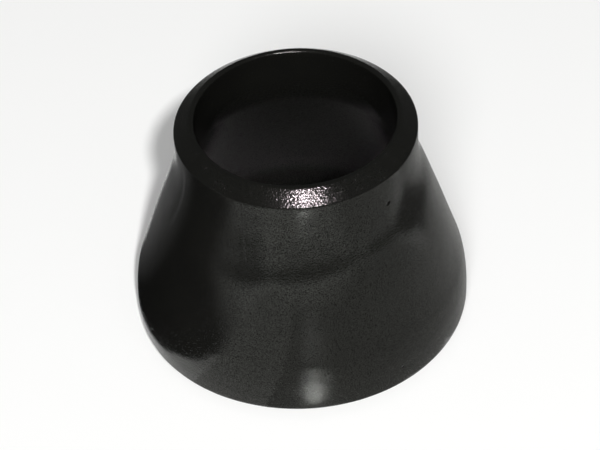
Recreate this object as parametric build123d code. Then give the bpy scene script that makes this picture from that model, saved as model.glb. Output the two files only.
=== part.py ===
from build123d import *
import math
import os

# Eccentric butt weld reducer, nominal 6 in by 4 in, one pressed steel piece.
# Millimetres. The origin is the centre of the large end's face, +Z runs towards the
# small end, and the steep side of the body lies on -Y.

# Ends: outside diameters, walls and the machined weld preparation
large_od = 168.3
small_od = 114.3
large_wall = 10.97
small_wall = 9.8
bevel_deg = 37.5  # angle of the bevel to the plane of the end
root_face = 2.4  # flat ring left inside the bevel, lip included
lip_radius = 1.0  # rounded edge from the root face into the bore

# Body: end to end length, how far the small end's axis stands off the large end's
# towards the steep side, straight stretches and the two bends
length = 140.0
axis_shift = 20.0
large_tangent = 11.0
small_tangent = 14.0
shoulder_radius = 90.0
neck_radius = 60.0

# Named clearance: how far the cutting shapes run past the metal
cut_past = 2.0

large_r = large_od / 2
small_r = small_od / 2
drop = large_r - small_r

# The profile is a shoulder bend, a straight slope and a neck bend, all tangent.
# The slope's angle follows from the line that touches both bends.
rise = length - large_tangent - small_tangent
bends = shoulder_radius + neck_radius
slope = math.asin(bends / math.hypot(rise, bends - drop))
slope -= math.atan2(bends - drop, rise)
shoulder_top = large_tangent + shoulder_radius * math.sin(slope)
neck_foot = length - small_tangent - neck_radius * math.sin(slope)
neck_top = length - small_tangent


def profile_at(height):
    """Outside radius at a height, and the lean of the profile there."""
    if height < shoulder_top:
        lean_here = math.asin(max(height - large_tangent, 0) / shoulder_radius)
        return large_r - shoulder_radius * (1 - math.cos(lean_here)), lean_here
    if height > neck_foot:
        lean_here = math.asin(max(neck_top - height, 0) / neck_radius)
        return small_r + neck_radius * (1 - math.cos(lean_here)), lean_here
    foot_radius = large_r - shoulder_radius * (1 - math.cos(slope))
    return foot_radius - (height - shoulder_top) * math.tan(slope), slope


def wall_at(height):
    """Wall thickness, which runs evenly from the large end's to the small end's."""
    share = min(max((height - large_tangent) / rise, 0), 1)
    return large_wall + (small_wall - large_wall) * share


def centre_at(radius):
    """Y of a section's centre, which moves over in step with the radius."""
    return -axis_shift * (large_r - radius) / drop


def outer_circle(height):
    """Outside section."""
    radius, _ = profile_at(height)
    return Pos(0, centre_at(radius), height) * Circle(radius)


def inner_circle(height):
    """Inside section: one wall in from the steep side and from the slanting side."""
    radius, lean_here = profile_at(height)
    share = axis_shift / drop
    steep_wall = wall_at(height) * math.hypot(1, (1 - share) * math.tan(lean_here))
    slant_wall = wall_at(height) * math.hypot(1, (1 + share) * math.tan(lean_here))
    centre_y = centre_at(radius) + (steep_wall - slant_wall) / 2
    return Pos(0, centre_y, height) * Circle(radius - (steep_wall + slant_wall) / 2)


def tube(radius, low, high, centre_y):
    """Upright cylinder between two heights."""
    disc = Pos(0, centre_y, low) * Circle(radius)
    return extrude(disc, high - low)


# Sections at even heights up the bends and the slope, with one more past each end so
# that the skin leaves the straight stretches square. The spare ends are trimmed off.
section_count = 21
pitch = rise / (section_count - 1)
heights = [large_tangent + pitch * i for i in range(-1, section_count + 1)]
slab = Pos(0, 0, large_tangent + rise / 2) * Box(2 * large_od, 2 * large_od, rise)

outside = slab & loft([outer_circle(height) for height in heights])
outside += tube(large_r, 0, large_tangent, 0)
outside += tube(small_r, neck_top, length, -axis_shift)

inside = slab & loft([inner_circle(height) for height in heights])
inside += tube(large_r - large_wall, -cut_past, large_tangent, 0)
inside += tube(small_r - small_wall, neck_top, length + cut_past, -axis_shift)

reducer_body = outside - inside


# Weld bevels: a ring of triangular section taken off each end
def bevel_ring(radius, wall, end, up, centre_y):
    """Cutter for one end; up is +1 for the small end and -1 for the large end."""
    rate = math.tan(math.radians(bevel_deg))
    depth = wall - root_face
    inner = radius - depth - cut_past
    outer = radius + cut_past
    above = end + up * cut_past * rate
    below = end - up * (depth + cut_past) * rate
    section = Plane.XZ * Polygon((inner, above), (outer, above), (outer, below), align=None)
    return Pos(0, centre_y, 0) * revolve(section, Axis.Z)


reducer_body -= bevel_ring(small_r, small_wall, length, 1, -axis_shift)
reducer_body -= bevel_ring(large_r, large_wall, 0, -1, 0)

# Rounded lips where the bore meets each root face
rims = reducer_body.edges().filter_by(GeomType.CIRCLE)
top_lip = rims.group_by(Axis.Z)[-1].sort_by(SortBy.RADIUS)[0]
bottom_lip = rims.group_by(Axis.Z)[0].sort_by(SortBy.RADIUS)[0]
reducer_body = fillet([top_lip, bottom_lip], lip_radius)

os.makedirs("parts", exist_ok=True)
export_step(reducer_body, "parts/reducer_body.step")
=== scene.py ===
import math

import bpy
import numpy
from mathutils import Matrix, Vector, noise


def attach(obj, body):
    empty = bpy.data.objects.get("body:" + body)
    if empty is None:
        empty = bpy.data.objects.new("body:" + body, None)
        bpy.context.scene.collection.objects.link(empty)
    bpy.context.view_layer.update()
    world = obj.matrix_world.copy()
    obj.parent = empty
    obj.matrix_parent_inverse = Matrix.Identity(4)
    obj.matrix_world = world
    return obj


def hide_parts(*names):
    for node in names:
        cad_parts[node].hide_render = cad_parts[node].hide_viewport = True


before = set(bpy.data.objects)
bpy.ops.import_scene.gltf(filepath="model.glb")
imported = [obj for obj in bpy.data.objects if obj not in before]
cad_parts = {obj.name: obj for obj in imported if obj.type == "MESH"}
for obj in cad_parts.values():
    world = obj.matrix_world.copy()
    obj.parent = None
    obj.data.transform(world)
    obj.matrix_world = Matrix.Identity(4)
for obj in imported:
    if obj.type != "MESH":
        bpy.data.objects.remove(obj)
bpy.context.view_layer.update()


# The body
# One eccentric reducer pressed hot from seamless steel pipe, then turned to a weld bevel
# at both ends. Its rings repeat the frame's shape in millimetres. Pressing leaves shallow
# swells and hollows on the steep side, so the gloss breaks up there as on the real one.

MM = 0.001
large_r, small_r = 84.15, 57.15
large_wall, small_wall = 10.97, 9.8
length, axis_shift = 140.0, 20.0
large_tangent, small_tangent = 11.0, 14.0
shoulder_radius, neck_radius = 90.0, 60.0
root_face, lip_radius = 2.4, 1.0
bevel_rate = math.tan(math.radians(37.5))
edge_round = 0.5  # paint softens the turned edges by about this much
lip_steps, bevel_steps = 5, 12

# The rings that round a painted corner, as shares of edge_round: how far in from the root
# face's corner and from the outer one, how far off the flat, and how far down the outside
face_corner_in, outer_corner_in, corner_off, corner_down = 0.3, 0.12, 0.1, 0.6

drop = large_r - small_r
rise = length - large_tangent - small_tangent
bends = shoulder_radius + neck_radius
slope = math.asin(bends / math.hypot(rise, bends - drop)) - math.atan2(bends - drop, rise)
shoulder_top = large_tangent + shoulder_radius * math.sin(slope)
neck_top = length - small_tangent
neck_foot = neck_top - neck_radius * math.sin(slope)


def profile_at(height):
    """Outside radius at a height, and the lean of the profile there."""
    if height < shoulder_top:
        lean = math.asin(max(height - large_tangent, 0) / shoulder_radius)
        return large_r - shoulder_radius * (1 - math.cos(lean)), lean
    if height > neck_foot:
        lean = math.asin(max(neck_top - height, 0) / neck_radius)
        return small_r + neck_radius * (1 - math.cos(lean)), lean
    foot_radius = large_r - shoulder_radius * (1 - math.cos(slope))
    return foot_radius - (height - shoulder_top) * math.tan(slope), slope


def centre_at(radius):
    """Y of a section's centre, which moves over in step with the radius."""
    return -axis_shift * (large_r - radius) / drop


def bore_at(height):
    """Centre and radius of the bore at a height."""
    radius, lean = profile_at(height)
    along = min(max((height - large_tangent) / rise, 0), 1)
    wall = large_wall + (small_wall - large_wall) * along
    share = axis_shift / drop
    steep_wall = wall * math.hypot(1, (1 - share) * math.tan(lean))
    slant_wall = wall * math.hypot(1, (1 + share) * math.tan(lean))
    centre_y = centre_at(radius) + (steep_wall - slant_wall) / 2
    return centre_y, radius - (steep_wall + slant_wall) / 2


def end_rings(radius, wall, centre_y, face, up):
    """Rings over one turned end, from its bore to its outside. up is 1 or -1."""
    bore = radius - wall
    depth = wall - root_face
    rings = []
    for step in range(1, lip_steps + 1):
        turn = math.radians(90 * step / lip_steps)
        rings.append((bore + lip_radius * (1 - math.cos(turn)),
                      face - up * lip_radius * (1 - math.sin(turn))))
    rings.append((bore + root_face - edge_round, face))
    rings.append((bore + root_face - face_corner_in * edge_round,
                  face - up * corner_off * edge_round))
    for step in range(bevel_steps + 1):
        out = edge_round / 2 + (depth - edge_round) * step / bevel_steps
        rings.append((bore + root_face + out, face - up * out * bevel_rate))
    outer = face - up * depth * bevel_rate
    rings.append((radius - outer_corner_in * edge_round, outer + up * corner_off * edge_round))
    rings.append((radius, outer - up * corner_down * edge_round))
    return [(centre_y, ring_radius, height) for ring_radius, height in rings]


small_end = end_rings(small_r, small_wall, -axis_shift, length, 1)
large_end = end_rings(large_r, large_wall, 0, 0, -1)

outside_pitch = 1.1
top, bottom = small_end[-1][2], large_end[-1][2]
count = round((top - bottom) / outside_pitch)
outside = []
for step in range(1, count):
    height = top + (bottom - top) * step / count
    radius = profile_at(height)[0]
    outside.append((centre_at(radius), radius, height))

bore_pitch = 2.6
count = round((length - 2 * lip_radius) / bore_pitch)
bore_rings = []
for step in range(count + 1):
    height = lip_radius + (length - 2 * lip_radius) * step / count
    bore_rings.append((*bore_at(height), height))

rings = small_end + outside + large_end[::-1] + bore_rings
first_outside = len(small_end)
last_outside = first_outside + len(outside)

sides = 448
angles = [2 * math.pi * side / sides for side in range(sides)]
points = numpy.empty((len(rings), sides, 3))
for row, (centre_y, radius, height) in enumerate(rings):
    points[row, :, 0] = [radius * math.cos(angle) for angle in angles]
    points[row, :, 1] = [centre_y + radius * math.sin(angle) for angle in angles]
    points[row, :, 2] = height

# What the press left: a step under the rim, a deeper one at the shoulder, a slack stretch
# below that, and a foot that turns under
neck_step, neck_step_at, neck_step_reach = 0.2, 127.0, 4.0
shoulder_step, shoulder_step_at, shoulder_step_reach = 1.2, 95.5, 6.5
shoulder_step_tilt = 0.12  # the step climbs towards the right
slack, slack_top, slack_foot = 0.65, 80.0, 36.0
turn_under_from, turn_under_radius = 25.0, 150.0
swell_foot, swell_full = 18.0, 36.0

# Long waves and short ripples all round, as depth and length. All the relief starts over
# the first few rings below the rim and runs out over the large end's bevel, past the two
# rings that round its outer corner, so that root faces and lips stay true.
wave_depth, wave_length = 0.10, 24.0
ripple_depth, ripple_length = 0.03, 7.0
fade_rings, corner_rings = 8, 2
last_bevel = last_outside + corner_rings + bevel_steps

# The crease on the left under the rim, as height and turn in degrees from the steep side,
# foot first. Its foot runs out, and left of its edge the wall drops and comes back up.
fold_line = ((86.0, -65.0), (93.0, -61.3), (104.0, -57.7), (117.0, -54.9), (130.0, -53.4))
fold_depth, fold_width, fold_reach = 0.22, 0.9, 12.0
fold_run_out, fold_return = 8.0, 5.0


def swell_at(height, face_on, sideways):
    """How far the press left the wall out or in. face_on is 1 on the steep side."""
    past_step = (height - shoulder_step_at - shoulder_step_tilt * sideways) / shoulder_step_reach
    swell = shoulder_step * (0.5 - 0.5 * math.tanh(past_step))
    swell += neck_step * (0.5 - 0.5 * math.tanh((height - neck_step_at) / neck_step_reach))
    down = min(max((slack_top - height) / (slack_top - slack_foot), 0), 1)
    swell -= slack * down * down * (3 - 2 * down)
    swell *= min(max((height - swell_foot) / (swell_full - swell_foot), 0), 1)
    under = max(turn_under_from - height, 0) ** 2 / (2 * turn_under_radius)
    return (0.5 + 0.5 * face_on) * swell - max(face_on, 0) * under


fold_heights, fold_turns = zip(*fold_line)
for row in range(first_outside, last_bevel):
    height = rings[row][2]
    fade = min((row - first_outside) / fade_rings, (last_bevel - row) / bevel_steps, 1)
    fold_turn = numpy.interp(height, fold_heights, fold_turns)
    fold_fade = min(max((height - fold_heights[0]) / fold_run_out, 0), 1)
    for side, angle in enumerate(angles):
        place = Vector(points[row, side])
        wave = wave_depth * (noise.noise(place / wave_length) - 1)
        ripple = ripple_depth * (noise.noise(place / ripple_length) - 1)
        move = wave + ripple + swell_at(height, -math.sin(angle), place.x)
        turn = math.degrees(math.atan2(place.x, -place.y))
        across = math.radians(turn - fold_turn) * math.hypot(place.x, place.y)
        if abs(across) < fold_reach:
            step_down = 0.5 - 0.5 * math.tanh(across / fold_width)
            come_back = math.exp(-(min(across, 0) / fold_return) ** 2)
            move -= fold_fade * fold_depth * step_down * come_back
        points[row, side, 0] += fade * move * math.cos(angle)
        points[row, side, 1] += fade * move * math.sin(angle)

faces = []
for row in range(len(rings)):
    below = (row + 1) % len(rings)
    for side in range(sides):
        beside = (side + 1) % sides
        faces.append((row * sides + side, below * sides + side,
                      below * sides + beside, row * sides + beside))

mesh = bpy.data.meshes.new("reducer_body_painted")
mesh.from_pydata((points.reshape(-1, 3) * MM).tolist(), [], faces)
mesh.shade_smooth()
reducer_body = bpy.data.objects.new("reducer_body_painted", mesh)
bpy.context.collection.objects.link(reducer_body)


def linear(hex_colour):
    """sRGB hex to a linear colour with full alpha."""
    parts = [int(hex_colour[i:i + 2], 16) / 255 for i in (1, 3, 5)]
    return [c / 12.92 if c <= 0.04045 else ((c + 0.055) / 1.055) ** 2.4 for c in parts] + [1]


def add_node(tree, kind, settings=(), links=()):
    """Adds one node, sets its values and links its inputs, by name or by number."""
    node = tree.nodes.new(kind)
    for name, value in dict(settings).items():
        if isinstance(name, str) and hasattr(node, name):
            setattr(node, name, value)
        else:
            node.inputs[name].default_value = value
    for name, socket in dict(links).items():
        tree.links.new(socket, node.inputs[name])
    return node


# Black alkyd paint, sprayed in one coat over shot-blasted steel: a satin black that
# mirrors its surroundings softly, broken up by orange peel and the blasted grain.
paint = bpy.data.materials.new("black_alkyd_paint_sprayed")
paint.use_nodes = True
tree = paint.node_tree
tree.nodes.clear()
where = add_node(tree, "ShaderNodeTexCoord").outputs["Object"]

# Orange peel is about a millimetre across and the overlap of spray passes a few
# centimetres. The blasted grain, the pores in the film and the nibs of dust are really a
# tenth or two. One pixel of the render shows half a millimetre, so they are drawn coarser.
peel_mm, cloud_mm = 0.9, 30.0
grain_mm, pore_mm, nib_mm = 0.4, 0.5, 0.7
peel = add_node(tree, "ShaderNodeTexNoise", {"Scale": 1 / (peel_mm * MM), "Detail": 1.0},
                {"Vector": where})
grain = add_node(tree, "ShaderNodeTexNoise", {"Scale": 1 / (grain_mm * MM), "Detail": 1.0},
                 {"Vector": where})
pores = add_node(tree, "ShaderNodeTexNoise", {"Scale": 1 / (pore_mm * MM), "Detail": 1.0},
                 {"Vector": where})
cloud = add_node(tree, "ShaderNodeTexNoise", {"Scale": 1 / (cloud_mm * MM), "Detail": 3.0},
                 {"Vector": where})
nibs = add_node(tree, "ShaderNodeTexNoise", {"Scale": 1 / (nib_mm * MM), "Detail": 0.0},
                {"Vector": where})
nib_foot, nib_top = 0.74, 0.84  # only the noise's rare peaks stand up as nibs
nibs = add_node(tree, "ShaderNodeMapRange", {"From Min": nib_foot, "From Max": nib_top},
                {"Value": nibs.outputs["Fac"]}).outputs["Result"]

# Marks on the steep side, in millimetres: pinholes as place and reach, two faint upright
# lines from rolling as X and strength, and the lower arc of one ring-shaped scratch. Each
# is at full depth over its core, a share of its reach, and fades out from there.
core = 0.4
pinholes = (((38.1, -62.7, 119.3), 1.6), ((52.2, -55.4, 79.8), 0.8), ((34.8, -75.9, 28.5), 0.7),
            ((42.9, -72.2, 18.5), 0.7), ((58.3, -55.9, 46.4), 0.6))
holes = add_node(tree, "ShaderNodeMath", {0: 0.0, 1: 0.0}).outputs["Value"]  # starts at nothing
for place, reach in pinholes:
    away = add_node(tree, "ShaderNodeVectorMath",
                    {"operation": "DISTANCE", 1: Vector(place) * MM}, {0: where})
    hole = add_node(tree, "ShaderNodeMapRange",
                    {"From Min": core * reach * MM, "From Max": reach * MM,
                     "To Min": 1.0, "To Max": 0.0}, {"Value": away.outputs["Value"]})
    holes = add_node(tree, "ShaderNodeMath", {"operation": "ADD"},
                     {0: holes, 1: hole.outputs["Result"]}).outputs["Value"]

lines = ((-29.9, 0.26), (-26.9, 0.20))
line_reach, line_foot, steep_side = 1.2, 98.0, -60.0
axes = add_node(tree, "ShaderNodeSeparateXYZ", (), {"Vector": where}).outputs
above = add_node(tree, "ShaderNodeMath", {"operation": "GREATER_THAN", 1: line_foot * MM},
                 {0: axes["Z"]})
in_front = add_node(tree, "ShaderNodeMath", {"operation": "LESS_THAN", 1: steep_side * MM},
                    {0: axes["Y"]})
band = add_node(tree, "ShaderNodeMath", {"operation": "MULTIPLY"},
                {0: above.outputs["Value"], 1: in_front.outputs["Value"]})
marks = holes
for line_x, strength in lines:
    away = add_node(tree, "ShaderNodeMath", {"operation": "SUBTRACT", 1: line_x * MM},
                    {0: axes["X"]})
    away = add_node(tree, "ShaderNodeMath", {"operation": "ABSOLUTE"},
                    {0: away.outputs["Value"]})
    line = add_node(tree, "ShaderNodeMapRange",
                    {"From Min": core * line_reach * MM, "From Max": line_reach * MM,
                     "To Min": strength, "To Max": 0.0}, {"Value": away.outputs["Value"]})
    marks = add_node(tree, "ShaderNodeMath", {"operation": "MULTIPLY_ADD"},
                     {0: line.outputs["Result"], 1: band.outputs["Value"],
                      2: marks}).outputs["Value"]

scratch_centre, scratch_radius = (20.0, -77.6, 69.0), 4.2
scratch_reach, scratch_strength, scratch_top = 0.5, 0.15, 67.5
away = add_node(tree, "ShaderNodeVectorMath",
                {"operation": "DISTANCE", 1: Vector(scratch_centre) * MM}, {0: where})
away = add_node(tree, "ShaderNodeMath", {"operation": "SUBTRACT", 1: scratch_radius * MM},
                {0: away.outputs["Value"]})
away = add_node(tree, "ShaderNodeMath", {"operation": "ABSOLUTE"}, {0: away.outputs["Value"]})
scratch = add_node(tree, "ShaderNodeMapRange",
                   {"From Min": core * scratch_reach * MM, "From Max": scratch_reach * MM,
                    "To Min": scratch_strength, "To Max": 0.0}, {"Value": away.outputs["Value"]})
low_arc = add_node(tree, "ShaderNodeMath", {"operation": "LESS_THAN", 1: scratch_top * MM},
                   {0: axes["Z"]})
marks = add_node(tree, "ShaderNodeMath", {"operation": "MULTIPLY_ADD"},
                 {0: scratch.outputs["Result"], 1: low_arc.outputs["Value"],
                  2: marks}).outputs["Value"]

# Each texture's depth in millimetres. The paint lies smoother on the walls than on the
# small end's turned bevel, and changes over within a blend just below it.
mark_depth, peel_depth, grain_depth, nib_depth = 0.3, 0.1, 0.015, 0.1
wall_share, bevel_share, share_blend = 0.66, 1.3, 1.0
bevel_foot = length - (small_wall - root_face) * bevel_rate
coarse = add_node(tree, "ShaderNodeMapRange",
                  {"From Min": (bevel_foot - share_blend) * MM, "From Max": bevel_foot * MM,
                   "To Min": wall_share, "To Max": bevel_share},
                  {"Value": axes["Z"]}).outputs["Result"]
mark_bump = add_node(tree, "ShaderNodeBump",
                     {"Strength": 1.0, "Distance": mark_depth * MM, "invert": True},
                     {"Height": marks})
peel_bump = add_node(tree, "ShaderNodeBump", {"Distance": peel_depth * MM},
                     {"Height": peel.outputs["Fac"], "Strength": coarse,
                      "Normal": mark_bump.outputs["Normal"]})
grain_bump = add_node(tree, "ShaderNodeBump", {"Distance": grain_depth * MM},
                      {"Height": grain.outputs["Fac"], "Strength": coarse,
                       "Normal": peel_bump.outputs["Normal"]})
nib_bump = add_node(tree, "ShaderNodeBump", {"Strength": 1.0, "Distance": nib_depth * MM},
                    {"Height": nibs, "Normal": grain_bump.outputs["Normal"]})

# The film is a little duller where spray passes overlap, and loses its sheen in the pores
# and the pinholes. Most of a noise lies between noise_low and noise_high.
noise_low, noise_high = 0.3, 0.7
smooth, dull = 0.13, 0.18
pore_sheen, full_sheen = 0.1, 0.9
gloss = add_node(tree, "ShaderNodeMapRange",
                 {"From Min": noise_low, "From Max": noise_high,
                  "To Min": smooth, "To Max": dull}, {"Value": cloud.outputs["Fac"]})
sheen = add_node(tree, "ShaderNodeMapRange",
                 {"From Min": noise_low, "From Max": noise_high,
                  "To Min": pore_sheen, "To Max": full_sheen}, {"Value": pores.outputs["Fac"]})
closed = add_node(tree, "ShaderNodeMath", {"operation": "SUBTRACT", 0: 1.0}, {1: holes})
sheen = add_node(tree, "ShaderNodeMath", {"operation": "MULTIPLY"},
                 {0: sheen.outputs["Result"], 1: closed.outputs["Value"]})

# Sockets 6 and 7 are the mix's two colours, and output 2 is its colour
tone = add_node(tree, "ShaderNodeMix",
                {"data_type": "RGBA", 6: linear("#0d0d0c"), 7: linear("#131311")},
                {"Factor": cloud.outputs["Fac"]})
skin = add_node(tree, "ShaderNodeBsdfPrincipled",
                {"IOR": 1.38, "Metallic": 0.0, "Specular Tint": linear("#fbfff5")},
                {"Base Color": tone.outputs[2], "Roughness": gloss.outputs["Result"],
                 "Specular IOR Level": sheen.outputs["Value"],
                 "Normal": nib_bump.outputs["Normal"]})
add_node(tree, "ShaderNodeOutputMaterial", (), {"Surface": skin.outputs["BSDF"]})

mesh.materials.append(paint)
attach(reducer_body, "root")
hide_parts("reducer_body")


# The studio
# White paper on a pale floor in a dim room, lit from near the camera by a small key lamp,
# a smaller one for the bevel's glint and a soft fill that makes no highlight of its own.
# Flat cards that only the gloss sees darken the walls' reflections: a grey table beyond the
# paper, darker patches beside the object, and painted shade on the floor round its foot.

def flat_sheet(name, corners, height, colour, roughness):
    """A level sheet, corners in millimetres, with one plain finish."""
    sheet_mesh = bpy.data.meshes.new(name)
    sheet_mesh.from_pydata([Vector((*corner, height)) * MM for corner in corners],
                           [], [range(len(corners))])
    sheet = bpy.data.objects.new(name, sheet_mesh)
    bpy.context.collection.objects.link(sheet)
    finish = bpy.data.materials.new(name)
    finish.use_nodes = True
    surface = finish.node_tree.nodes["Principled BSDF"]
    surface.inputs["Base Color"].default_value = linear(colour)
    surface.inputs["Roughness"].default_value = roughness
    surface.inputs["Specular IOR Level"].default_value = 0.0
    sheet_mesh.materials.append(finish)
    return sheet


paper_white, paper_roughness, card_roughness = "#f7f7f6", 0.5, 0.8
floor_level, table_level, paper_level, card_level, side_card_level = -1, -0.5, 0, 1, 2
floor_corners = ((-4000, -4000), (4000, -4000), (4000, 4000), (-4000, 4000))
paper_corners = ((-215, -236), (0, -240), (157, -224), (232, -100), (182, 0), (214, 300),
                 (-215, 300))
left_corners = ((-420, -165), (-97, -165), (-90, -98), (-83, -66), (-84, -36), (-87, -5),
                (-86, 250), (-420, 250))
side_corners = ((-420, -236), (-120, -236), (-114, -200), (-128, -165), (-190, -130),
                (-210, -98), (-420, -98))
# Painted shade: the right and front cards, grey and pale grey, come in to the foot, so the gloss
# shows the floor round the foot darker, as if it lay in the object's own shade.
right_corners = ((-28, -186), (60, -190), (135, -205), (172, -165), (212, -100), (178, -20),
                 (205, 250), (98, 250), (86, 0), (74, -45), (52, -69), (10, -86), (-28, -82))
front_corners = ((-28, -186), (-28, -82), (-50, -71), (-64, -57), (-90, -98), (-97, -165),
                 (-80, -186))
pale_floor = flat_sheet("pale_floor", floor_corners, floor_level, paper_white, paper_roughness)
table_card = flat_sheet("table_card", floor_corners, table_level, "#565654", card_roughness)
white_paper = flat_sheet("white_paper", paper_corners, paper_level, paper_white, paper_roughness)
left_card = flat_sheet("left_card", left_corners, card_level, "#141414", card_roughness)
side_card = flat_sheet("side_card", side_corners, side_card_level, "#747474", card_roughness)
right_shade_card = flat_sheet("right_shade_card", right_corners, card_level, "#a4a4a2", card_roughness)
front_shade_card = flat_sheet("front_shade_card", front_corners, card_level, "#d0d0ce", card_roughness)
for card in (table_card, left_card, side_card, right_shade_card, front_shade_card):
    card.visible_camera = False
    card.visible_diffuse = False
    card.visible_shadow = False

# The left card's plain colour gives way to a fade along Y, from white at its near end over
# black to grey at its far end
card_near, card_far = -150, 250
card_stops = ((card_near, paper_white), (-92, "#242424"), (20, "#141414"), (90, "#787878"),
              (card_far, "#787878"))
card_tree = left_card.active_material.node_tree
card_where = add_node(card_tree, "ShaderNodeTexCoord").outputs["Object"]
card_axes = add_node(card_tree, "ShaderNodeSeparateXYZ", (), {"Vector": card_where})
card_along = add_node(card_tree, "ShaderNodeMapRange",
                      {"From Min": card_near * MM, "From Max": card_far * MM},
                      {"Value": card_axes.outputs["Y"]})
card_ramp = add_node(card_tree, "ShaderNodeValToRGB", (), {"Fac": card_along.outputs["Result"]})
for place, _ in card_stops[1:-1]:
    card_ramp.color_ramp.elements.new((place - card_near) / (card_far - card_near))
for stop, (place, colour) in zip(card_ramp.color_ramp.elements, card_stops):
    stop.position = (place - card_near) / (card_far - card_near)
    stop.color = linear(colour)
card_tree.links.new(card_ramp.outputs["Color"],
                    card_tree.nodes["Principled BSDF"].inputs["Base Color"])

# Camera: read off the two rims' ellipses and the outline in the photograph
aim = Vector((0, -axis_shift, length / 2)) * MM
view_azimuth, view_elevation, view_roll = math.radians(-3.0), math.radians(43.41), math.radians(3.24)
pixels_wide, focal_pixels, pixels_per_mm, pixels_left = 600, 2157.7, 2.054, 1.1
distance = focal_pixels / pixels_per_mm * MM
back = Vector((math.cos(view_elevation) * math.sin(view_azimuth),
               -math.cos(view_elevation) * math.cos(view_azimuth),
               math.sin(view_elevation)))
level = Vector((math.cos(view_azimuth), math.sin(view_azimuth), 0))
upright = back.cross(level)
right = level * math.cos(view_roll) - upright * math.sin(view_roll)
up = upright * math.cos(view_roll) + level * math.sin(view_roll)
lens = bpy.data.cameras.new("camera")
lens.sensor_width = 36
lens.lens = focal_pixels / pixels_wide * lens.sensor_width
lens.clip_start = 0.05
camera = bpy.data.objects.new("camera", lens)
bpy.context.collection.objects.link(camera)
middle = aim - right * (pixels_left / pixels_per_mm * MM)
camera.matrix_world = Matrix((right, up, back)).transposed().to_4x4()
camera.location = middle + back * distance
bpy.context.scene.camera = camera

lamp_distance = 6.0


def disk_lamp(name, azimuth, elevation, size, watts):
    """Round lamp aimed at the object; azimuth 0 is the steep side, 90 the right."""
    lamp = bpy.data.lights.new(name, "AREA")
    lamp.shape = "DISK"
    lamp.size = size
    lamp.energy = watts
    holder = bpy.data.objects.new(name, lamp)
    bpy.context.collection.objects.link(holder)
    turn, height = math.radians(azimuth), math.radians(elevation)
    way = Vector((math.cos(height) * math.sin(turn), -math.cos(height) * math.cos(turn),
                  math.sin(height)))
    holder.location = aim + way * lamp_distance
    holder.rotation_euler = way.to_track_quat("Z", "Y").to_euler()
    return holder


disk_lamp("key_lamp", azimuth=6, elevation=43.5, size=0.30, watts=320.0)
fill = disk_lamp("soft_fill", azimuth=-10, elevation=38, size=1.7, watts=200.0)
fill.visible_glossy = False
glint = disk_lamp("glint_lamp", azimuth=5, elevation=58, size=0.25, watts=320.0)
glint.data.color = linear("#ffebfb")[:3]
glint.visible_diffuse = False

# The key lamp's image in the table's polish, as a lamp below it that only gloss sees. A
# disc under the object keeps it out of the bore, as the object's own image would.
key_image = disk_lamp("key_image", azimuth=1, elevation=-51.5, size=0.30, watts=44.0)
key_image.visible_diffuse = False
for sheet in (pale_floor, white_paper):
    sheet.visible_shadow = False
disc_level = -0.2
disc_step = 8  # every eighth side of the body is round enough
disc_corners = [(large_r * math.cos(angle), large_r * math.sin(angle))
                for angle in angles[::disc_step]]
base_disc = flat_sheet("base_disc", disc_corners, disc_level, "#0c0c0c", card_roughness)
for sight in ("visible_camera", "visible_diffuse", "visible_glossy", "visible_transmission"):
    setattr(base_disc, sight, False)

world = bpy.data.worlds.new("dim_room")
bpy.context.scene.world = world
world.use_nodes = True
world.node_tree.nodes["Background"].inputs["Color"].default_value = linear("#5a5a5a")

bpy.context.scene.view_settings.view_transform = "Standard"
